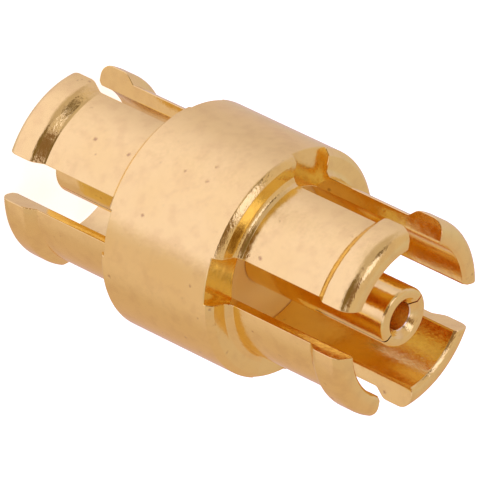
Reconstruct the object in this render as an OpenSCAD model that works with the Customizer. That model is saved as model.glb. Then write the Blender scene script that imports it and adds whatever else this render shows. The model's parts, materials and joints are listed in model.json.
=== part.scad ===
// Sub-miniature push-on coaxial bullet adapter, with a female socket at each end.
// The axis is Z and the origin is the middle of the barrel. Lengths are in millimetres.

/* [Overall] */
// Length over the finger tips
overall_len = 6.45; // [5.6:0.05:12]

/* [Outer conductor] */
// Bore through the barrel and between the fingers
bore_d = 2.24; // [1.6:0.02:3.2]
// Wall of a finger arm
finger_wall = 0.205; // [0.1:0.005:0.4]
// Height of the barrel's shoulder above the finger arms
shoulder_height = 0.375; // [0.28:0.005:0.8]
// Length of the barrel between its end faces
barrel_len = 2.13; // [1.7:0.01:3.2]
// Chamfer around each end of the barrel
barrel_chamfer = 0.09; // [0.06:0.01:0.14]
// Rounding between the barrel's wall and its chamfers
rim_r = 0.05; // [0.03:0.01:0.14]
// Fillet where the finger arms leave the barrel's end face
root_fillet = 0.11; // [0.03:0.01:0.14]

/* [Saw cuts] */
// Saw cuts across each end, each leaving two slots
saw_cuts = 2; // [1:1:3]
// Width of a saw cut
slot_w = 0.68; // [0.2:0.02:0.8]
// How far a saw cut runs past the end face into the barrel
slot_into_barrel = 0.12; // [0.02:0.01:0.3]

/* [Finger lips] */
// Height of the snap lip above the finger arm
lip_height = 0.125; // [0.05:0.005:0.25]
// Length of the ramp from the arm up to the crest of the lip
ramp_len = 0.21; // [0.15:0.005:0.4]
// Fillet where the ramp leaves the arm
ramp_fillet = 0.12; // [0.03:0.01:0.2]
// Rounding where the ramp runs out into the crest
crest_r = 0.25; // [0.05:0.01:0.3]
// Length from the top of the ramp to the finger tip
lip_len = 0.45; // [0.35:0.005:0.8]
// Rounding of the outer corner of the tip
nose_r = 0.2; // [0.04:0.01:0.24]
// Chamfer inside the tip that leads the mating part in
lead_in = 0.05; // [0.01:0.01:0.1]

/* [Insulator] */
// Length of the insulator bead
bead_len = 1.1; // [0.6:0.05:1.3]
// Depth of the groove in the bore that the bead snaps into
groove_depth = 0.05; // [0.02:0.01:0.12]
// Clearance all round the bead, in its groove and on the contact
bead_clearance = 0.01; // [0.002:0.002:0.03]

/* [Centre contact] */
// Diameter of the socket for the mating pin
socket_d = 0.41; // [0.3:0.01:0.6]
// Wall of the contact around the socket
contact_wall = 0.24; // [0.15:0.01:0.35]
// How far the contact's ends lie behind the finger tips
contact_recess = 0.11; // [0:0.005:0.5]
// Depth of the waist that the bead holds
waist_depth = 0.1; // [0.03:0.01:0.15]
// Depth of each socket, measured to the end of its straight wall
socket_depth = 1.6; // [1:0.05:1.9]
// Width of the countersunk edge at the mouth of the socket
countersink = 0.1; // [0.02:0.005:0.12]
// Rounding of the contact's outer end corner
contact_edge = 0.07; // [0.02:0.01:0.09]
// Width of the slit that splits each end of the contact
slit_w = 0.04; // [0.03:0.005:0.15]
// Length of that slit
slit_len = 1.3; // [0.6:0.05:1.5]

/* [Hidden] */
$fn = 96;

// Radii of the outer conductor, from the bore outwards
bore_r = bore_d / 2;
finger_r = bore_r + finger_wall;
lip_r = finger_r + lip_height;
barrel_r = finger_r + shoulder_height;
groove_r = bore_r + groove_depth;

// Heights above the middle of the barrel, and the slope of the lip's ramp
tip_z = overall_len / 2;
barrel_z = barrel_len / 2;
slot_z = barrel_z - slot_into_barrel;
crest_z = tip_z - lip_len;
ramp_z = crest_z - ramp_len;
ramp_angle = atan2(lip_height, ramp_len);
bead_z = bead_len / 2;
groove_z = bead_z + bead_clearance;
contact_z = tip_z - contact_recess;

// Radii of the contact, and the cone that a drill leaves at the bottom of a socket
socket_r = socket_d / 2;
contact_r = socket_r + contact_wall;
waist_r = contact_r - waist_depth;
drill_point_angle = 118;
drill_point_len = socket_r / tan(drill_point_angle / 2);

// Chamfers are cut at this angle
chamfer_angle = 45;

// The contact's slit lies halfway between two slots, behind the middle of a finger
slit_angle = -90 / saw_cuts;

// Room by which a cutting shape passes the surface it cuts, and depth to which an added
// fillet sinks into the walls that it joins
over = 0.2;
sink = finger_wall / 2;

gold = [0.98, 0.82, 0.60];
white = [0.93, 0.90, 0.86];

// Draws its child at the upper end and mirrored at the lower end
module both_ends() {
    children();
    mirror([0, 0, 1]) children();
}

// The same about the X axis, for profiles
module both_halves() {
    children();
    mirror([0, 1]) children();
}

// Waste outside a round of radius r, for an outer corner at the origin
module outer_corner(r) {
    translate([-r, -r]) difference() {
        square(r + over);
        circle(r);
    }
}

// Waste outside a round of radius r that eases a blunt corner at the origin, where a wall that
// comes down along Y turns inwards by the given angle
module blunt_corner(r, turn) {
    reach = r * tan(turn / 2);
    difference() {
        polygon([
            [0, reach], [over, reach], [over, -reach * cos(turn)],
            [-reach * sin(turn), -reach * cos(turn)]
        ]);
        translate([-r, reach]) circle(r);
    }
}

// Fillet of radius r in a blunt corner at the origin, where a wall that comes up along Y turns
// outwards by the given angle
module blunt_fillet(r, turn) {
    reach = r * tan(turn / 2);
    difference() {
        polygon([
            [0, -reach], [reach * sin(turn), reach * cos(turn)],
            [-sink, reach * cos(turn)], [-sink, -reach]
        ]);
        translate([r, -reach]) circle(r);
    }
}

// Waste outside a chamfer of width w, for an outer corner at the origin
module chamfered_corner(w) {
    polygon([[-w - over, over], [-w, 0], [0, -w], [over, -w - over], [over, over]]);
}

// Fillet of radius r in an inner corner at the origin, open towards +X and +Y
module inner_fillet(r) {
    difference() {
        translate([-sink, -sink]) square(r + sink);
        translate([r, r]) circle(r);
    }
}

// Upper half of the turned section of the outer conductor, radius along X
module conductor_half_section() {
    difference() {
        union() {
            // Barrel, with its chamfer and the rounding below that
            difference() {
                translate([bore_r, 0]) square([barrel_r - bore_r, barrel_z]);
                translate([barrel_r, barrel_z]) chamfered_corner(barrel_chamfer);
                translate([barrel_r, barrel_z - barrel_chamfer])
                    mirror([0, 1]) blunt_corner(rim_r, chamfer_angle);
            }
            // Finger arm and the fillet at its root
            translate([bore_r, 0]) square([finger_wall, tip_z]);
            translate([finger_r, barrel_z]) inner_fillet(root_fillet);
            // Snap lip, with its ramp eased at both ends
            translate([finger_r, ramp_z]) blunt_fillet(ramp_fillet, ramp_angle);
            difference() {
                polygon([
                    [bore_r, ramp_z], [finger_r, ramp_z], [lip_r, crest_z],
                    [lip_r, tip_z], [bore_r, tip_z]
                ]);
                translate([lip_r, crest_z]) blunt_corner(crest_r, ramp_angle);
            }
        }
        // Groove for the bead
        translate([bore_r - over, 0]) square([groove_depth + over, groove_z]);
        // Rounded nose outside the tip and lead-in inside it
        translate([lip_r, tip_z]) outer_corner(nose_r);
        translate([bore_r, tip_z]) mirror([1, 0]) chamfered_corner(lead_in);
    }
}

// Saw cuts that part the fingers of the upper end
module finger_slots() {
    cut_span = 2 * (barrel_r + over);
    for (i = [0 : saw_cuts - 1])
        rotate(i * 180 / saw_cuts)
            translate([-cut_span / 2, -slot_w / 2, slot_z])
                cube([cut_span, slot_w, tip_z - slot_z + over]);
}

// Barrel and spring fingers, turned in one piece and slotted
module outer_conductor() {
    color(gold)
        difference() {
            rotate_extrude() both_halves() conductor_half_section();
            both_ends() finger_slots();
        }
}

// Bead that holds the contact on the axis
module insulator() {
    outer_r = groove_r - bead_clearance;
    hole_r = waist_r + bead_clearance;
    color(white)
        rotate_extrude()
            translate([hole_r, -bead_z]) square([outer_r - hole_r, bead_len]);
}

// Upper half of the turned section of the contact, radius along X
module contact_half_section() {
    difference() {
        square([contact_r, contact_z]);
        // Waist that the bead sits in
        translate([waist_r, -over]) square([waist_depth + over, groove_z + over]);
        // Rounded end
        translate([contact_r, contact_z]) outer_corner(contact_edge);
        // Socket with its drill point and countersunk mouth
        polygon([
            [0, contact_z - socket_depth - drill_point_len], [socket_r, contact_z - socket_depth],
            [socket_r, contact_z - countersink], [socket_r + countersink, contact_z],
            [socket_r + countersink, contact_z + over], [0, contact_z + over]
        ]);
    }
}

// Slit across the upper end of the contact
module contact_slit() {
    cut_span = 2 * (contact_r + over);
    rotate(slit_angle)
        translate([-cut_span / 2, -slit_w / 2, contact_z - slit_len])
            cube([cut_span, slit_w, slit_len + over]);
}

// Pin with a split socket in each end
module centre_contact() {
    color(gold)
        difference() {
            rotate_extrude() both_halves() contact_half_section();
            both_ends() contact_slit();
        }
}

outer_conductor();
insulator();
centre_contact();
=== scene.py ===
"""Looks of a push-on coaxial bullet adapter: turned and sawn pieces, gold plate, a bead and a light tent."""

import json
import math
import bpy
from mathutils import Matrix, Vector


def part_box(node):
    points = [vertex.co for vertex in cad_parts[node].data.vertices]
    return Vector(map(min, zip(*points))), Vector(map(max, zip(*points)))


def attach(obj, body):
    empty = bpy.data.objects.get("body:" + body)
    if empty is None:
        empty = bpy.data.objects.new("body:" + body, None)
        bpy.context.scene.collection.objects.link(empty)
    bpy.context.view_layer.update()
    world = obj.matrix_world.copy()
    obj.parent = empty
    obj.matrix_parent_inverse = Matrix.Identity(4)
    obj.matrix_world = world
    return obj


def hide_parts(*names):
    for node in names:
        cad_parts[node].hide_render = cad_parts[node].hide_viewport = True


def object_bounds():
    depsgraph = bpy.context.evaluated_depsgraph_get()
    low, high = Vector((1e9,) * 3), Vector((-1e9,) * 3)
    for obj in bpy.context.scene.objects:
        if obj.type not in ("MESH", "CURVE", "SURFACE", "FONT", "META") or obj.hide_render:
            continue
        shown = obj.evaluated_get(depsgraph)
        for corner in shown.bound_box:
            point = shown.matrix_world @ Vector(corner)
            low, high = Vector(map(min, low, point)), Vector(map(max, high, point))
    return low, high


bl_info = {
    "name": "Coaxial bullet adapter",
    "version": (1, 0, 0),
    "blender": (4, 5, 0),
    "location": "View3D > Sidebar > Adapter",
    "description": "Turns, saws and plates the pieces of a coaxial bullet adapter and lights them in a tent",
    "category": "Object",
}

from types import SimpleNamespace

import bmesh
import bpy
from mathutils import Matrix, Quaternion, Vector

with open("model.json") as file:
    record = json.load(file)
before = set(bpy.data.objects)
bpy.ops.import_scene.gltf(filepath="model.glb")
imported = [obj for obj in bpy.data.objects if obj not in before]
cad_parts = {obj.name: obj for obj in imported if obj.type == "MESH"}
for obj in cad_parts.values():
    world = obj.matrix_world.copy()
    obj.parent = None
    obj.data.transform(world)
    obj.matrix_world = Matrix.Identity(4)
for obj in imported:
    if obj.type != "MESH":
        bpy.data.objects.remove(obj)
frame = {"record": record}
CAD_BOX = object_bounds()

# Properties are in metres, and the pieces are shaped in millimetres, where fine bevels keep their digits
MM = 0.001

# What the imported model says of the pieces
MOUNT_SIZES = {mount["name"]: mount["dims"] for mount in frame["record"]["mounts"]}
BARREL_R = MOUNT_SIZES["barrel"]["r_mm"] * MM
LIP_R = MOUNT_SIZES["upper_snap_lips"]["r_mm"] * MM
SOCKET_R = MOUNT_SIZES["upper_socket"]["r_mm"] * MM
SOCKET_WALL_LEN = MOUNT_SIZES["upper_socket"]["length_mm"] * MM
TIP_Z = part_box("outer_conductor")[1].z
BEAD_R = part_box("insulator")[1].x
BEAD_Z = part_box("insulator")[1].z
CONTACT_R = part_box("centre_contact")[1].x
CONTACT_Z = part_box("centre_contact")[1].z
FLOOR_Z = CAD_BOX[0].z

# Sizes that are used more than once, and that the boxes and the mounts don't give
WAIST_R = 0.345 * MM
BEAD_CLEARANCE = 0.01 * MM
COUNTERSINK = 0.1 * MM

# Everything is turned about this axis
AXIS = (0, 0, 1)

# Steps of the meshes: around the axis, across half a saw cut, along a round and across a broken edge
TURN_STEPS = {"outer": 192, "contact": 128, "bead": 128}
SLOT_STEPS = {"outer": 8, "contact": 2}
ARC_STEPS = 8
BREAK_STEPS = 2

# In millimetres: points closer than the first are one, and the second is how far below the contact's
# rounded end a ring of points keeps the shading of its long wall even
WELD = 1e-5
HOLD = 0.03

# Corners sharper than the first angle are broken, and those sharper than the second are shaded as corners
BROKEN_CORNER = math.radians(25)
SHADED_CORNER = math.radians(20)

# How the pieces are drilled, chamfered and sawn: the contact's one slit lies halfway between the saw cuts
DRILL_POINT = math.radians(118)
CHAMFER = math.radians(45)
SAW_CUTS = 2
SLIT_CUTS = 1
SLIT_TURN = math.radians(-45)

# The frame has a plain material of its own for each slot, so the finishes here have other names
GOLD_NAME = "satin_gold"
BEAD_NAME = "waxy_fluoropolymer_with_painted_bounce"
FLOOR_NAME = "floor_paint"

# Noises of the finishes, by the length of their waves, and the value that they all swing about
NOISE_MIDDLE = (0.5, 0.5, 0.5)
CLOUD = {"wave": 0.9 * MM, "detail": 2}
STAIN = {"wave": 0.2 * MM, "detail": 5}
GRAIN = {"wave": 0.06 * MM, "detail": 3}
RINGS = {"wave": 0.045 * MM, "detail": 2}
BEAD_CLOUD = {"wave": 0.4 * MM, "detail": 3}
BEAD_MARKS = {"wave": 0.05 * MM, "detail": 2}
FLOOR_CLOUD = {"wave": 20 * MM, "detail": 2}

# Spans of those noises that count, and how far the stains and the roughness then go
CLOUD_SPAN = (0.35, 0.65)
STAIN_SPAN = (0.42, 0.72)
STAIN_MOST = 0.42
GRAIN_SPAN = (0.3, 0.7)
ROUGHNESS_SWING = 0.05

# Relief of the surfaces
RING_HEIGHT = 0.004 * MM
GRAIN_HEIGHT = 0.0014 * MM
PIT_DEPTH = 0.003 * MM
BEAD_MARK_HEIGHT = 0.001 * MM

# Lathe marks show on sloping faces, by how far these face along the axis, and their rings are broken up
SLOPE_STARTS = (0.1, 0.4)
SLOPE_ENDS = (0.9, 1.0)
RING_BREAK = (0.7, 0.7, 0.7)

# Pits: the cells that they are scattered in, how uneven they are, and, in cells, their reach and their wall
PIT_CELL = 0.22 * MM
PIT_STIR = 0.05 * MM
PIT_CHANCE = (0.25, 1.0)
PIT_REACH = 0.22
PIT_WALL = (-0.20, 0.0)

# Where the thin plate inside the socket gives way to the full one, from the axis
BORED_EDGE = (SOCKET_R + 0.005 * MM, SOCKET_R + 0.02 * MM)

# How dark the clouds in the bead and the floor are, and the floor's own size and glow
BEAD_SHADE = 0.94
FLOOR_SHADE = 0.98
FLOOR_R = 0.3
FLOOR_SIDES = 64
FLOOR_ROUGHNESS = 0.9
FLOOR_GLOW = 0.8

# Where the tent's back meets its front, the table its far edge, and the cloth the table
FRONT_FADE = (-0.80, 0.13)
TABLE_FADE = (-0.84, -0.04)
HORIZON_FADE = (-0.24, 0.11)

# Round parts of the tent, hung in this order: where they lie, and the angles of their edge and their core
TENT_PARTS = {
    "end_wall": {"up": 0.367, "front": -0.019, "axis": 0.930, "edge": 55.6, "core": 36.0},
    "side_wall": {"up": -0.398, "front": 0.795, "axis": -0.457, "edge": 34.3, "core": 9.1},
    "roof_ridge": {"up": 0.998, "front": 0.032, "axis": 0.051, "edge": 40.1, "core": 20.1},
    "opening": {"up": 0.614, "front": 0.781, "axis": 0.116, "edge": 30.0, "core": 18.0},
    "lens_gap": {"up": 0.450, "front": 0.560, "axis": 0.696, "edge": 19.5, "core": 13.5},
    "seam": {"up": 0.800, "front": -0.070, "axis": 0.596, "edge": 13.0, "core": 9.0},
    "softbox": {"up": 0.600, "front": 0.100, "axis": 0.794, "edge": 16.0, "core": 11.0},
}

# Light bounces often between the walls of the bore
BOUNCES = 16

# What the camera sees, in shares of its distance
CLIP_START = 0.1
CLIP_END = 20


def length(name, description, default):
    """A size that the sidebar shows as a length."""
    return bpy.props.FloatProperty(
        name=name, description=description, default=default, min=0.0, unit="LENGTH", precision=6
    )


def colour(name, description, default):
    """A colour of a finish, as linear red, green and blue."""
    return bpy.props.FloatVectorProperty(
        name=name, description=description, default=default, min=0.0, max=1.0, size=3, subtype="COLOR"
    )


def light(name, description, default):
    """The colour and strength of a light, as linear red, green and blue."""
    return bpy.props.FloatVectorProperty(
        name=name, description=description, default=default, min=0.0, soft_max=3.0, size=3, subtype="COLOR"
    )


def share(name, description, default):
    """A number from 0 to 1."""
    return bpy.props.FloatProperty(
        name=name, description=description, default=default, min=0.0, max=1.0, subtype="FACTOR"
    )


def angle(name, description, default_deg):
    """An angle, given here in degrees."""
    return bpy.props.FloatProperty(
        name=name, description=description, default=math.radians(default_deg),
        subtype="ANGLE", unit="ROTATION",
    )


class OuterConductorSizes(bpy.types.PropertyGroup):
    """Sizes of the barrel and its spring fingers."""

    tip_z: length("Tip height", "From the middle of the barrel to the finger tips", TIP_Z)
    barrel_r: length("Barrel radius", "Radius of the barrel", BARREL_R)
    barrel_z: length("Barrel end", "From the middle of the barrel to its end face", 1.065 * MM)
    barrel_chamfer: length("Barrel chamfer", "Chamfer around the end of the barrel", 0.09 * MM)
    rim_r: length("Rim radius", "Rounding between the barrel's wall and its chamfer", 0.05 * MM)
    root_fillet: length("Root fillet", "Fillet between the end face and the arms", 0.11 * MM)
    bore_r: length("Bore radius", "Radius of the bore between the fingers", 1.12 * MM)
    groove_r: length("Groove radius", "Radius of the groove that holds the bead", BEAD_R + BEAD_CLEARANCE)
    groove_z: length("Groove end", "From the middle of the barrel to the end of the groove",
                     BEAD_Z + BEAD_CLEARANCE)
    arm_r: length("Arm radius", "Outer radius of the finger arms", 1.325 * MM)
    lip_r: length("Lip radius", "Radius over the snap lips", LIP_R)
    lip_len: length("Lip length", "From the top of the ramp to the tip", 0.48 * MM)
    ramp_len: length("Ramp length", "Length of the ramp up to the lip", 0.15 * MM)
    ramp_fillet: length("Ramp fillet", "Fillet where the ramp leaves the arm", 0.08 * MM)
    crest_r: length("Crest radius", "Rounding where the ramp runs out into the crest", 0.17 * MM)
    nose_r: length("Nose radius", "Rounding of the outer corner of a tip", 0.2 * MM)
    lead_in: length("Lead-in", "Chamfer inside a tip", 0.05 * MM)
    slot_w: length("Slot width", "Width of a saw cut", 0.68 * MM)
    slot_z: length("Slot end", "From the middle of the barrel to the end of a saw cut", 0.945 * MM)
    edge_break: length("Edge break", "Width of the broken edges", 0.012 * MM)


class BeadSizes(bpy.types.PropertyGroup):
    """Sizes of the insulator bead."""

    outer_r: length("Bead radius", "Outer radius of the bead", BEAD_R)
    hole_r: length("Hole radius", "Radius of the hole for the contact", WAIST_R + BEAD_CLEARANCE)
    bead_z: length("Bead end", "From the middle of the bead to its end face", BEAD_Z)
    edge_break: length("Edge break", "Width of the broken edges", 0.006 * MM)


class ContactSizes(bpy.types.PropertyGroup):
    """Sizes of the split centre contact."""

    contact_z: length("Contact end", "From the middle of the contact to its end face", CONTACT_Z)
    contact_r: length("Contact radius", "Outer radius of the contact", CONTACT_R)
    waist_r: length("Waist radius", "Radius of the waist in the bead", WAIST_R)
    waist_z: length("Waist end", "From the middle of the contact to the end of the waist",
                    BEAD_Z + BEAD_CLEARANCE)
    socket_r: length("Socket radius", "Radius of the socket for the pin", SOCKET_R)
    socket_depth: length("Socket depth", "Depth to the end of the socket's straight wall",
                         SOCKET_WALL_LEN + COUNTERSINK)
    countersink: length("Countersink", "Width of the countersunk edge of the socket", COUNTERSINK)
    end_round: length("End rounding", "Rounding of the outer end corner", 0.07 * MM)
    slit_w: length("Slit width", "Width of the slit across an end", 0.025 * MM)
    slit_len: length("Slit length", "Length of that slit", 1.3 * MM)
    edge_break: length("Edge break", "Width of the broken edges", 0.005 * MM)


class FinishSettings(bpy.types.PropertyGroup):
    """Colours and gloss of the finishes."""

    gold: colour("Gold", "Colour of the gold plate", (0.945, 0.745, 0.24))
    warm_gold: colour("Warm gold", "Colour of the plate where it is deeper", (0.936, 0.73, 0.227))
    glancing_gold: colour("Glancing gold", "Tint of the plate seen at a glancing angle", (1.0, 0.93, 0.74))
    stain: colour("Stain", "Colour of the faint stains on the plate", (0.80, 0.58, 0.19))
    pit: colour("Pit", "Colour of the pits in the plate", (0.55, 0.37, 0.13))
    bored: colour("Bored metal", "Colour of the thinly plated socket", (0.91, 0.78, 0.48))
    gold_roughness: share("Gold roughness", "Roughness of the satin plate", 0.16)
    # The bead's tan is painted warm bounce light: the glow that the gold walls cast on the pale polymer
    bead: colour("Bead", "Colour of the fluoropolymer", (0.86, 0.69, 0.27))
    bead_roughness: share("Bead roughness", "Roughness of the fluoropolymer", 0.45)
    floor: colour("Floor", "Colour of the floor", (0.90, 0.90, 0.89))


class StudioSettings(bpy.types.PropertyGroup):
    """Camera and light of the studio."""

    azimuth: angle("Azimuth", "Turn of the camera around the adapter, 0 looking along +Y", -25.31)
    elevation: angle("Elevation", "Height of the camera above the horizon", 35.78)
    roll: angle("Roll", "Turn of the camera about its own axis", -115.67)
    distance: length("Distance", "From the camera to the adapter", 112.5 * MM)
    focal: bpy.props.FloatProperty(
        name="Focal length", description="Focal length of the lens", default=608.8, min=1.0, unit="CAMERA"
    )
    aim_right: length("Aim right", "How far right of the adapter's middle the camera aims", 0.0344 * MM)
    aim_down: length("Aim down", "How far below the adapter's middle the camera aims", 0.0244 * MM)
    tent_azimuth: angle("Tent azimuth", "Where the tent's roof lies, seen along the adapter's axis", -75.3)
    tent_front: light("Tent front", "Light of the tent's front and roof", (1.05, 0.905, 1.57))
    tent_back: light("Tent back", "Light of the tent's back", (0.708, 0.59, 0.957))
    table_edge: light("Table edge", "Light of the table near the horizon", (0.673, 0.599, 0.819))
    table: light("Table", "Light of the table below the adapter", (0.671, 0.481, 0.542))
    end_wall: light("End wall", "Light of the tent's wall beyond the upper end", (0.688, 0.532, 0.619))
    side_wall: light("Side wall", "Light of the tent's wall in front, near the table", (0.79, 0.602, 0.775))
    roof_ridge: light("Roof ridge", "Light of the tent's ridge", (0.604, 0.481, 0.615))
    opening: light("Opening", "Light of the tent's dark opening", (0.22, 0.14, 0.08))
    lens_gap: light("Lens gap", "Light of the gap that the lens looks through", (0.24, 0.135, 0.09))
    seam: light("Seam", "Light of the seam beside the softbox", (0.21, 0.145, 0.115))
    softbox: light("Softbox", "Light of the softbox above the upper end", (1.32, 1.19, 2.16))


def millimetres(sizes):
    """The lengths of a property group, in millimetres."""
    return SimpleNamespace(**{name: getattr(sizes, name) / MM for name in type(sizes).__annotations__})


def arc(centre, radius, start_deg, end_deg):
    """Points of an arc in the plane of a turned outline, as radius and height."""
    points = []
    for step in range(ARC_STEPS + 1):
        turn = math.radians(start_deg + (end_deg - start_deg) * step / ARC_STEPS)
        points.append((centre[0] + radius * math.cos(turn), centre[1] + radius * math.sin(turn)))
    return points


def outer_conductor_outline(s):
    """Upper half of the turned section of the outer conductor, from the bore round to the barrel."""
    slope = math.degrees(math.atan2(s.lip_r - s.arm_r, s.ramp_len))
    ease = math.tan(math.radians(slope / 2))
    crest_z = s.tip_z - s.lip_len
    nose = (s.lip_r - s.nose_r, s.tip_z - s.nose_r)
    crest = (s.lip_r - s.crest_r, crest_z + s.crest_r * ease)
    foot = (s.arm_r + s.ramp_fillet, crest_z - s.ramp_len - s.ramp_fillet * ease)
    root = (s.arm_r + s.root_fillet, s.barrel_z + s.root_fillet)
    rim = (s.barrel_r - s.rim_r, s.barrel_z - s.barrel_chamfer - s.rim_r * math.tan(CHAMFER / 2))
    return [
        (s.groove_r, 0), (s.groove_r, s.groove_z), (s.bore_r, s.groove_z), (s.bore_r, s.slot_z),
        (s.bore_r, s.tip_z - s.lead_in), (s.bore_r + s.lead_in, s.tip_z), *arc(nose, s.nose_r, 90, 0),
        *arc(crest, s.crest_r, 0, -slope), *arc(foot, s.ramp_fillet, 180 - slope, 180),
        *arc(root, s.root_fillet, 180, 270), (s.barrel_r - s.barrel_chamfer, s.barrel_z),
        *arc(rim, s.rim_r, math.degrees(CHAMFER), 0), (s.barrel_r, s.slot_z), (s.barrel_r, 0),
    ]


def bead_outline(s):
    """Upper half of the turned section of the bead."""
    return [(s.hole_r, 0), (s.hole_r, s.bead_z), (s.outer_r, s.bead_z), (s.outer_r, 0)]


def contact_outline(s):
    """Upper half of the turned section of the contact, from the drill point round to the waist."""
    socket_z = s.contact_z - s.socket_depth
    slit_z = s.contact_z - s.slit_len
    corner = (s.contact_r - s.end_round, s.contact_z - s.end_round)
    return [
        (0, socket_z - s.socket_r / math.tan(DRILL_POINT / 2)), (s.socket_r, socket_z), (s.socket_r, slit_z),
        (s.socket_r, s.contact_z - s.countersink), (s.socket_r + s.countersink, s.contact_z),
        *arc(corner, s.end_round, 90, 0), (s.contact_r, corner[1] - HOLD), (s.contact_r, slit_z),
        (s.contact_r, s.waist_z), (s.waist_r, s.waist_z), (s.waist_r, 0),
    ]


def turn_half(outline, steps):
    """Spins the outline of an upper half about the axis."""
    bm = bmesh.new()
    verts = [bm.verts.new((radius, 0, height)) for radius, height in outline]
    edges = [bm.edges.new(pair) for pair in zip(verts, verts[1:])]
    bmesh.ops.spin(
        bm, geom=verts + edges, cent=(0, 0, 0), axis=AXIS, dvec=(0, 0, 0),
        angle=2 * math.pi, steps=steps, use_merge=True,
    )
    bmesh.ops.remove_doubles(bm, verts=bm.verts, dist=WELD)
    bmesh.ops.recalc_face_normals(bm, faces=bm.faces)
    return bm


def line_up_with_saw(bm, cuts, half_width, slot_angle):
    """Shifts the mesh columns round the axis, so that two of them lie on the flanks of each saw cut."""
    half_sector = math.pi / (2 * cuts)
    for vert in bm.verts:
        radius = math.hypot(vert.co.x, vert.co.y)
        if radius < half_width:
            continue
        turn = math.atan2(vert.co.y, vert.co.x)
        middle = round(turn / (2 * half_sector)) * 2 * half_sector
        offset = turn - middle
        flank = math.asin(half_width / radius)
        if abs(offset) <= slot_angle:
            moved = abs(offset) * flank / slot_angle
        else:
            moved = flank + (abs(offset) - slot_angle) * (half_sector - flank) / (half_sector - slot_angle)
        turn = middle + math.copysign(moved, offset)
        vert.co.x = radius * math.cos(turn)
        vert.co.y = radius * math.sin(turn)


def edge_middle(edge):
    """Middle of an edge, level with the origin."""
    middle = (edge.verts[0].co + edge.verts[1].co) / 2
    return Vector((middle.x, middle.y, 0))


def saw(bm, cuts, width, floor_z, slot_steps, turn_steps):
    """Saws slots across the axis from the top down to floor_z, and closes their floors and flanks."""
    line_up_with_saw(bm, cuts, width / 2, slot_steps * 2 * math.pi / turn_steps)
    normals = [Vector((-math.sin(k * math.pi / cuts), math.cos(k * math.pi / cuts), 0)) for k in range(cuts)]

    def sawn(point):
        return point.z > floor_z + WELD and any(abs(point.dot(n)) < width / 2 - WELD for n in normals)

    waste = [face for face in bm.faces if sawn(face.calc_center_median())]
    bmesh.ops.delete(bm, geom=waste, context="FACES")
    rim = [edge for edge in bm.edges
           if edge.is_boundary and min(v.co.z for v in edge.verts) > floor_z - WELD]
    floor_rim = [edge for edge in rim if max(v.co.z for v in edge.verts) < floor_z + WELD]
    for slot in range(2 * cuts):
        direction = Vector((math.cos(slot * math.pi / cuts), math.sin(slot * math.pi / cuts), 0))
        edges = [edge for edge in floor_rim if edge_middle(edge).normalized().dot(direction) > 0 and
                 abs(edge_middle(edge).cross(direction).z) < width / 2]
        bmesh.ops.bridge_loops(bm, edges=edges)
    flanks = [edge for edge in bm.edges if edge.is_boundary and max(v.co.z for v in edge.verts) > WELD]
    bmesh.ops.edgeloop_fill(bm, edges=flanks)
    bmesh.ops.recalc_face_normals(bm, faces=bm.faces)


def break_edges(bm, width):
    """Bevels the outward corners that a machinist would break."""
    corners = [edge for edge in bm.edges
               if edge.is_manifold and edge.calc_face_angle_signed() > BROKEN_CORNER]
    bmesh.ops.bevel(
        bm, geom=corners, offset=width, offset_type="OFFSET", segments=BREAK_STEPS, profile=0.5,
        affect="EDGES", material=-1, clamp_overlap=True,
    )


def finish_piece(bm, name, material, node):
    """Mirrors the upper half, brings it to metres and puts it in the place of its CAD node."""
    bmesh.ops.mirror(
        bm, geom=bm.verts[:] + bm.edges[:] + bm.faces[:], matrix=Matrix.Identity(4),
        merge_dist=WELD, axis="Z",
    )
    bmesh.ops.remove_doubles(bm, verts=bm.verts, dist=WELD)
    bmesh.ops.recalc_face_normals(bm, faces=bm.faces)
    bmesh.ops.scale(bm, vec=(MM, MM, MM), verts=bm.verts)
    for face in bm.faces:
        face.smooth = True
    mesh = bpy.data.meshes.new(name)
    bm.to_mesh(mesh)
    bm.free()
    mesh.set_sharp_from_angle(angle=SHADED_CORNER)
    mesh.materials.append(material)
    piece = bpy.data.objects.new(name, mesh)
    bpy.context.scene.collection.objects.link(piece)
    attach(piece, "root")
    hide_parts(node)


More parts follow.
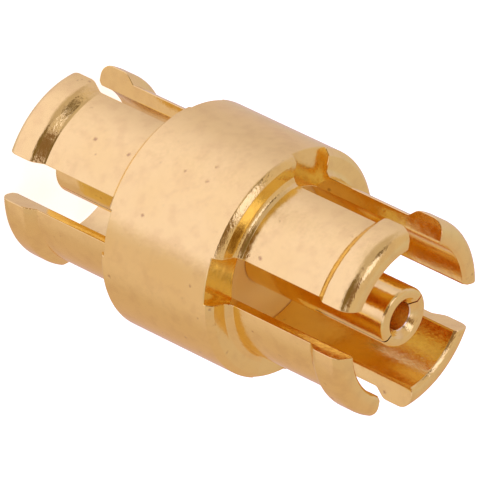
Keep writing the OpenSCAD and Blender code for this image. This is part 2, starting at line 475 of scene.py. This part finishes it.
class Wiring:
    """Makes the nodes of a material or a world, and joins them."""

    def __init__(self, tree):
        self.nodes = tree.nodes
        self.links = tree.links

    def feed(self, socket, source):
        """Feeds a socket from another one, or sets it to a plain number, vector or colour."""
        if isinstance(source, bpy.types.NodeSocket):
            self.links.new(source, socket)
        elif socket.type == "RGBA":
            socket.default_value = (*source, 1)
        else:
            socket.default_value = source

    def place(self):
        """Where a point of a piece lies."""
        return self.nodes.new("ShaderNodeTexCoord").outputs["Object"]

    def number_math(self, operation, first, second):
        """Two numbers put together by one step of arithmetic."""
        node = self.nodes.new("ShaderNodeMath")
        node.operation = operation
        self.feed(node.inputs[0], first)
        self.feed(node.inputs[1], second)
        return node.outputs["Value"]

    def vector_math(self, operation, *sources):
        """One step of vector arithmetic, whose result may be a vector or a number."""
        node = self.nodes.new("ShaderNodeVectorMath")
        node.operation = operation
        for socket, source in zip(node.inputs, sources):
            self.feed(socket, source)
        return node.outputs

    def along(self, source, direction):
        """How far a vector points along a fixed direction."""
        return self.vector_math("DOT_PRODUCT", source, direction)["Value"]

    def from_axis(self, place):
        """How far a place lies from the adapter's axis."""
        level = self.vector_math("MULTIPLY", place, (1, 1, 0))["Vector"]
        return self.vector_math("LENGTH", level)["Value"]

    def ranged(self, source, span, low, high):
        """Maps a number smoothly, from low at the start of a span to high at its end."""
        node = self.nodes.new("ShaderNodeMapRange")
        node.interpolation_type = "SMOOTHSTEP"
        self.feed(node.inputs["Value"], source)
        limits = {"From Min": span[0], "From Max": span[1], "To Min": low, "To Max": high}
        for name, value in limits.items():
            self.feed(node.inputs[name], value)
        return node.outputs["Result"]

    def mixed(self, factor, first, second):
        """Mixes two colours, each a plain colour or a socket."""
        node = self.nodes.new("ShaderNodeMix")
        node.data_type = "RGBA"
        self.feed(node.inputs["Factor"], factor)
        colours = [socket for socket in node.inputs if socket.type == "RGBA"]
        for socket, source in zip(colours, (first, second)):
            self.feed(socket, source)
        return next(socket for socket in node.outputs if socket.type == "RGBA")

    def noise(self, place, wave, detail):
        """A noise whose waves are about the given length, in metres."""
        texture = self.nodes.new("ShaderNodeTexNoise")
        self.feed(texture.inputs["Scale"], 1 / wave)
        self.feed(texture.inputs["Detail"], detail)
        self.feed(texture.inputs["Vector"], place)
        return texture.outputs["Fac"]

    def stirred(self, place, reach):
        """A place shifted by a noise as wide as its reach, which makes the shapes drawn there uneven."""
        texture = self.nodes.new("ShaderNodeTexNoise")
        self.feed(texture.inputs["Scale"], 1 / reach)
        self.feed(texture.inputs["Vector"], place)
        shift = self.vector_math("SUBTRACT", texture.outputs["Color"], NOISE_MIDDLE)["Vector"]
        return self.vector_math("MULTIPLY_ADD", shift, (reach, reach, reach), place)["Vector"]

    def bumped(self, height, depth, under=None):
        """A bump of the given depth in metres, over another one if there is one."""
        node = self.nodes.new("ShaderNodeBump")
        self.feed(node.inputs["Strength"], 1.0)
        self.feed(node.inputs["Distance"], depth)
        self.feed(node.inputs["Height"], height)
        if under:
            self.feed(node.inputs["Normal"], under)
        return node.outputs["Normal"]


def new_material(name):
    """A node material with only a shader, and its wiring and the shader's sockets."""
    material = bpy.data.materials.new(name)
    material.use_nodes = True
    wiring = Wiring(material.node_tree)
    wiring.nodes.clear()
    shader = wiring.nodes.new("ShaderNodeBsdfPrincipled")
    output = wiring.nodes.new("ShaderNodeOutputMaterial")
    wiring.feed(output.inputs["Surface"], shader.outputs["BSDF"])
    return material, wiring, shader.inputs


def lathe_marks(wiring, place):
    """Fine rings on the faces that a form tool cuts: chamfers, ramps and noses."""
    turned = wiring.nodes.new("ShaderNodeCombineXYZ")
    wiring.feed(turned.inputs["X"], wiring.from_axis(place))
    wiring.feed(turned.inputs["Z"], wiring.along(place, AXIS))
    broken = wiring.vector_math("MULTIPLY_ADD", place, RING_BREAK, turned.outputs["Vector"])["Vector"]
    rings = wiring.noise(broken, **RINGS)
    normal = wiring.nodes.new("ShaderNodeTexCoord").outputs["Normal"]
    slope = wiring.along(wiring.vector_math("ABSOLUTE", normal)["Vector"], AXIS)
    not_round = wiring.ranged(slope, SLOPE_STARTS, 0, 1)
    not_flat = wiring.ranged(slope, SLOPE_ENDS, 1, 0)
    return wiring.number_math("MULTIPLY", rings, wiring.number_math("MULTIPLY", not_round, not_flat))


def scattered_pits(wiring, place):
    """Soft spots of many sizes, in most of the cells of a scatter."""
    cells = wiring.nodes.new("ShaderNodeTexVoronoi")
    wiring.feed(cells.inputs["Scale"], 1 / PIT_CELL)
    wiring.feed(cells.inputs["Vector"], place)
    chance = wiring.along(cells.outputs["Color"], (1, 0, 0))
    reach = wiring.ranged(chance, PIT_CHANCE, 0, PIT_REACH)
    inside = wiring.number_math("SUBTRACT", cells.outputs["Distance"], reach)
    return wiring.ranged(inside, PIT_WALL, 1, 0)


def gold_plate(finish):
    """Satin gold plate over turned metal, with lathe marks, a fine grain, stains and scattered pits."""
    material, wiring, shader = new_material(GOLD_NAME)
    place = wiring.place()
    cloud = wiring.ranged(wiring.noise(place, **CLOUD), CLOUD_SPAN, 0, 1)
    stain = wiring.ranged(wiring.noise(place, **STAIN), STAIN_SPAN, 0, STAIN_MOST)
    grain = wiring.noise(place, **GRAIN)
    marks = lathe_marks(wiring, place)
    pits = scattered_pits(wiring, wiring.stirred(place, PIT_STIR))
    bored = wiring.ranged(wiring.from_axis(place), BORED_EDGE, 1, 0)
    plate = wiring.mixed(cloud, finish.gold, finish.warm_gold)
    plate = wiring.mixed(stain, plate, finish.stain)
    plate = wiring.mixed(pits, plate, finish.pit)
    wiring.feed(shader["Base Color"], wiring.mixed(bored, plate, finish.bored))
    wiring.feed(shader["Metallic"], 1.0)
    wiring.feed(shader["Specular Tint"], finish.glancing_gold)
    smooth = finish.gold_roughness - ROUGHNESS_SWING
    rough = finish.gold_roughness + ROUGHNESS_SWING
    wiring.feed(shader["Roughness"], wiring.ranged(grain, GRAIN_SPAN, smooth, rough))
    skin = wiring.bumped(grain, GRAIN_HEIGHT)
    skin = wiring.bumped(marks, RING_HEIGHT, skin)
    wiring.feed(shader["Normal"], wiring.bumped(pits, -PIT_DEPTH, skin))
    return material


def shared_gold(scene):
    """The gold plate, made once for the pieces that wear it."""
    return bpy.data.materials.get(GOLD_NAME) or gold_plate(scene.adapter_finish)


def fluoropolymer(finish):
    """Machined fluoropolymer, a little waxy, with its tan colour painted in as warm light bounced off the
    plated walls.
    """
    material, wiring, shader = new_material(BEAD_NAME)
    place = wiring.place()
    darker = tuple(BEAD_SHADE * part for part in finish.bead)
    wiring.feed(shader["Base Color"], wiring.mixed(wiring.noise(place, **BEAD_CLOUD), finish.bead, darker))
    wiring.feed(shader["Roughness"], finish.bead_roughness)
    wiring.feed(shader["Normal"], wiring.bumped(wiring.noise(place, **BEAD_MARKS), BEAD_MARK_HEIGHT))
    return material


def floor_paint(finish):
    """Matt white floor, with a faint cloud and a glow that washes shadows out."""
    material, wiring, shader = new_material(FLOOR_NAME)
    cloud = wiring.noise(wiring.place(), **FLOOR_CLOUD)
    darker = tuple(FLOOR_SHADE * part for part in finish.floor)
    wiring.feed(shader["Base Color"], wiring.mixed(cloud, finish.floor, darker))
    wiring.feed(shader["Roughness"], FLOOR_ROUGHNESS)
    wiring.feed(shader["Emission Color"], (1, 1, 1))
    wiring.feed(shader["Emission Strength"], FLOOR_GLOW)
    return material


def lay_floor(scene):
    """A wide pale floor under the finger tips, which the gold doesn't mirror."""
    bm = bmesh.new()
    bmesh.ops.create_circle(bm, cap_ends=True, segments=FLOOR_SIDES, radius=FLOOR_R)
    bmesh.ops.translate(bm, verts=bm.verts, vec=(0, 0, FLOOR_Z))
    mesh = bpy.data.meshes.new("floor")
    bm.to_mesh(mesh)
    bm.free()
    mesh.materials.append(floor_paint(scene.adapter_finish))
    floor = bpy.data.objects.new("floor", mesh)
    scene.collection.objects.link(floor)
    floor.visible_glossy = False


def level_direction(azimuth):
    """The level direction in which a camera at that azimuth stands."""
    return Vector((math.sin(azimuth), -math.cos(azimuth), 0))


def hang_tent(scene):
    """A light tent: white cloth in front and above, grey behind, a warm table below and dark gaps."""
    studio = scene.adapter_studio
    world = bpy.data.worlds.new("tent")
    scene.world = world
    world.use_nodes = True
    wiring = Wiring(world.node_tree)
    look = wiring.nodes.new("ShaderNodeTexCoord").outputs["Generated"]
    roof = level_direction(studio.tent_azimuth)
    front = level_direction(studio.tent_azimuth + math.pi / 2)
    height = wiring.along(look, roof)
    depth = wiring.along(look, front)
    cloth = wiring.mixed(wiring.ranged(depth, FRONT_FADE, 0, 1), studio.tent_back, studio.tent_front)
    table = wiring.mixed(wiring.ranged(height, TABLE_FADE, 0, 1), studio.table, studio.table_edge)
    light_map = wiring.mixed(wiring.ranged(height, HORIZON_FADE, 0, 1), table, cloth)
    for name, part in TENT_PARTS.items():
        direction = (part["up"] * roof + part["front"] * front + Vector((0, 0, part["axis"]))).normalized()
        fade = (math.cos(math.radians(part["edge"])), math.cos(math.radians(part["core"])))
        inside = wiring.ranged(wiring.along(look, direction), fade, 0, 1)
        light_map = wiring.mixed(inside, light_map, getattr(studio, name))
    background = wiring.nodes["Background"]
    wiring.feed(background.inputs["Color"], light_map)
    wiring.feed(background.inputs["Strength"], 1.0)


def set_camera(scene):
    """A long lens at the photograph's angle."""
    studio = scene.adapter_studio
    back = level_direction(studio.azimuth) * math.cos(studio.elevation)
    back.z = math.sin(studio.elevation)
    turn = (-back).to_track_quat("-Z", "Y") @ Quaternion(AXIS, -studio.roll)
    data = bpy.data.cameras.new("camera")
    data.lens = studio.focal
    data.clip_start = studio.distance * CLIP_START
    data.clip_end = studio.distance * CLIP_END
    camera = bpy.data.objects.new("camera", data)
    camera.rotation_mode = "QUATERNION"
    camera.rotation_quaternion = turn
    camera.location = back * studio.distance + turn @ Vector((studio.aim_right, -studio.aim_down, 0))
    scene.collection.objects.link(camera)
    scene.camera = camera


class ADAPTER_OT_outer_conductor(bpy.types.Operator):
    """Turn and saw the barrel with its spring fingers"""

    bl_idname = "adapter.outer_conductor"
    bl_label = "Outer conductor"

    def execute(self, context):
        s = millimetres(context.scene.adapter_outer)
        bm = turn_half(outer_conductor_outline(s), TURN_STEPS["outer"])
        saw(bm, SAW_CUTS, s.slot_w, s.slot_z, SLOT_STEPS["outer"], TURN_STEPS["outer"])
        break_edges(bm, s.edge_break)
        gold = shared_gold(context.scene)
        finish_piece(bm, "slotted_outer_conductor", gold, "outer_conductor")
        return {"FINISHED"}


class ADAPTER_OT_insulator(bpy.types.Operator):
    """Turn the bead that holds the contact"""

    bl_idname = "adapter.insulator"
    bl_label = "Insulator"

    def execute(self, context):
        s = millimetres(context.scene.adapter_bead)
        bm = turn_half(bead_outline(s), TURN_STEPS["bead"])
        break_edges(bm, s.edge_break)
        polymer = fluoropolymer(context.scene.adapter_finish)
        finish_piece(bm, "snap_in_bead", polymer, "insulator")
        return {"FINISHED"}


class ADAPTER_OT_centre_contact(bpy.types.Operator):
    """Turn and split the centre contact"""

    bl_idname = "adapter.centre_contact"
    bl_label = "Centre contact"

    def execute(self, context):
        s = millimetres(context.scene.adapter_contact)
        bm = turn_half(contact_outline(s), TURN_STEPS["contact"])
        slit_z = s.contact_z - s.slit_len
        saw(bm, SLIT_CUTS, s.slit_w, slit_z, SLOT_STEPS["contact"], TURN_STEPS["contact"])
        break_edges(bm, s.edge_break)
        bmesh.ops.rotate(bm, verts=bm.verts, cent=(0, 0, 0), matrix=Matrix.Rotation(SLIT_TURN, 3, "Z"))
        gold = shared_gold(context.scene)
        finish_piece(bm, "split_centre_contact", gold, "centre_contact")
        return {"FINISHED"}


class ADAPTER_OT_studio(bpy.types.Operator):
    """Lay the floor, hang the light tent and set up the camera"""

    bl_idname = "adapter.studio"
    bl_label = "Studio"

    def execute(self, context):
        scene = context.scene
        lay_floor(scene)
        hang_tent(scene)
        set_camera(scene)
        scene.view_settings.view_transform = "Standard"
        scene.cycles.max_bounces = BOUNCES
        scene.cycles.glossy_bounces = BOUNCES
        scene.cycles.diffuse_bounces = BOUNCES
        scene.cycles.blur_glossy = 0.0
        return {"FINISHED"}


class ADAPTER_PT_sidebar(bpy.types.Panel):
    """Lists the pieces, their sizes and the finishes"""

    bl_idname = "ADAPTER_PT_sidebar"
    bl_label = "Coaxial bullet adapter"
    bl_space_type = "VIEW_3D"
    bl_region_type = "UI"
    bl_category = "Adapter"

    def draw(self, context):
        for operator, group in MAKERS:
            box = self.layout.box()
            box.operator(operator)
            settings = getattr(context.scene, group)
            for name in type(settings).__annotations__:
                box.prop(settings, name)
        finishes = self.layout.box()
        for name in FinishSettings.__annotations__:
            finishes.prop(context.scene.adapter_finish, name)


# Each operator with the settings that it reads, as the sidebar lists them
MAKERS = (
    ("adapter.outer_conductor", "adapter_outer"),
    ("adapter.insulator", "adapter_bead"),
    ("adapter.centre_contact", "adapter_contact"),
    ("adapter.studio", "adapter_studio"),
)
GROUPS = {
    "adapter_outer": OuterConductorSizes,
    "adapter_bead": BeadSizes,
    "adapter_contact": ContactSizes,
    "adapter_finish": FinishSettings,
    "adapter_studio": StudioSettings,
}
CLASSES = (
    *GROUPS.values(), ADAPTER_OT_outer_conductor, ADAPTER_OT_insulator, ADAPTER_OT_centre_contact,
    ADAPTER_OT_studio, ADAPTER_PT_sidebar,
)


def register():
    """Adds the classes, and their settings to every scene."""
    for cls in CLASSES:
        bpy.utils.register_class(cls)
    for name, group in GROUPS.items():
        setattr(bpy.types.Scene, name, bpy.props.PointerProperty(type=group))


def unregister():
    """Takes away what register added."""
    for name in GROUPS:
        delattr(bpy.types.Scene, name)
    for cls in reversed(CLASSES):
        bpy.utils.unregister_class(cls)


def main():
    """Makes the pieces and the studio."""
    register()
    bpy.ops.adapter.outer_conductor()
    bpy.ops.adapter.insulator()
    bpy.ops.adapter.centre_contact()
    bpy.ops.adapter.studio()


if __name__ == "__main__":
    main()
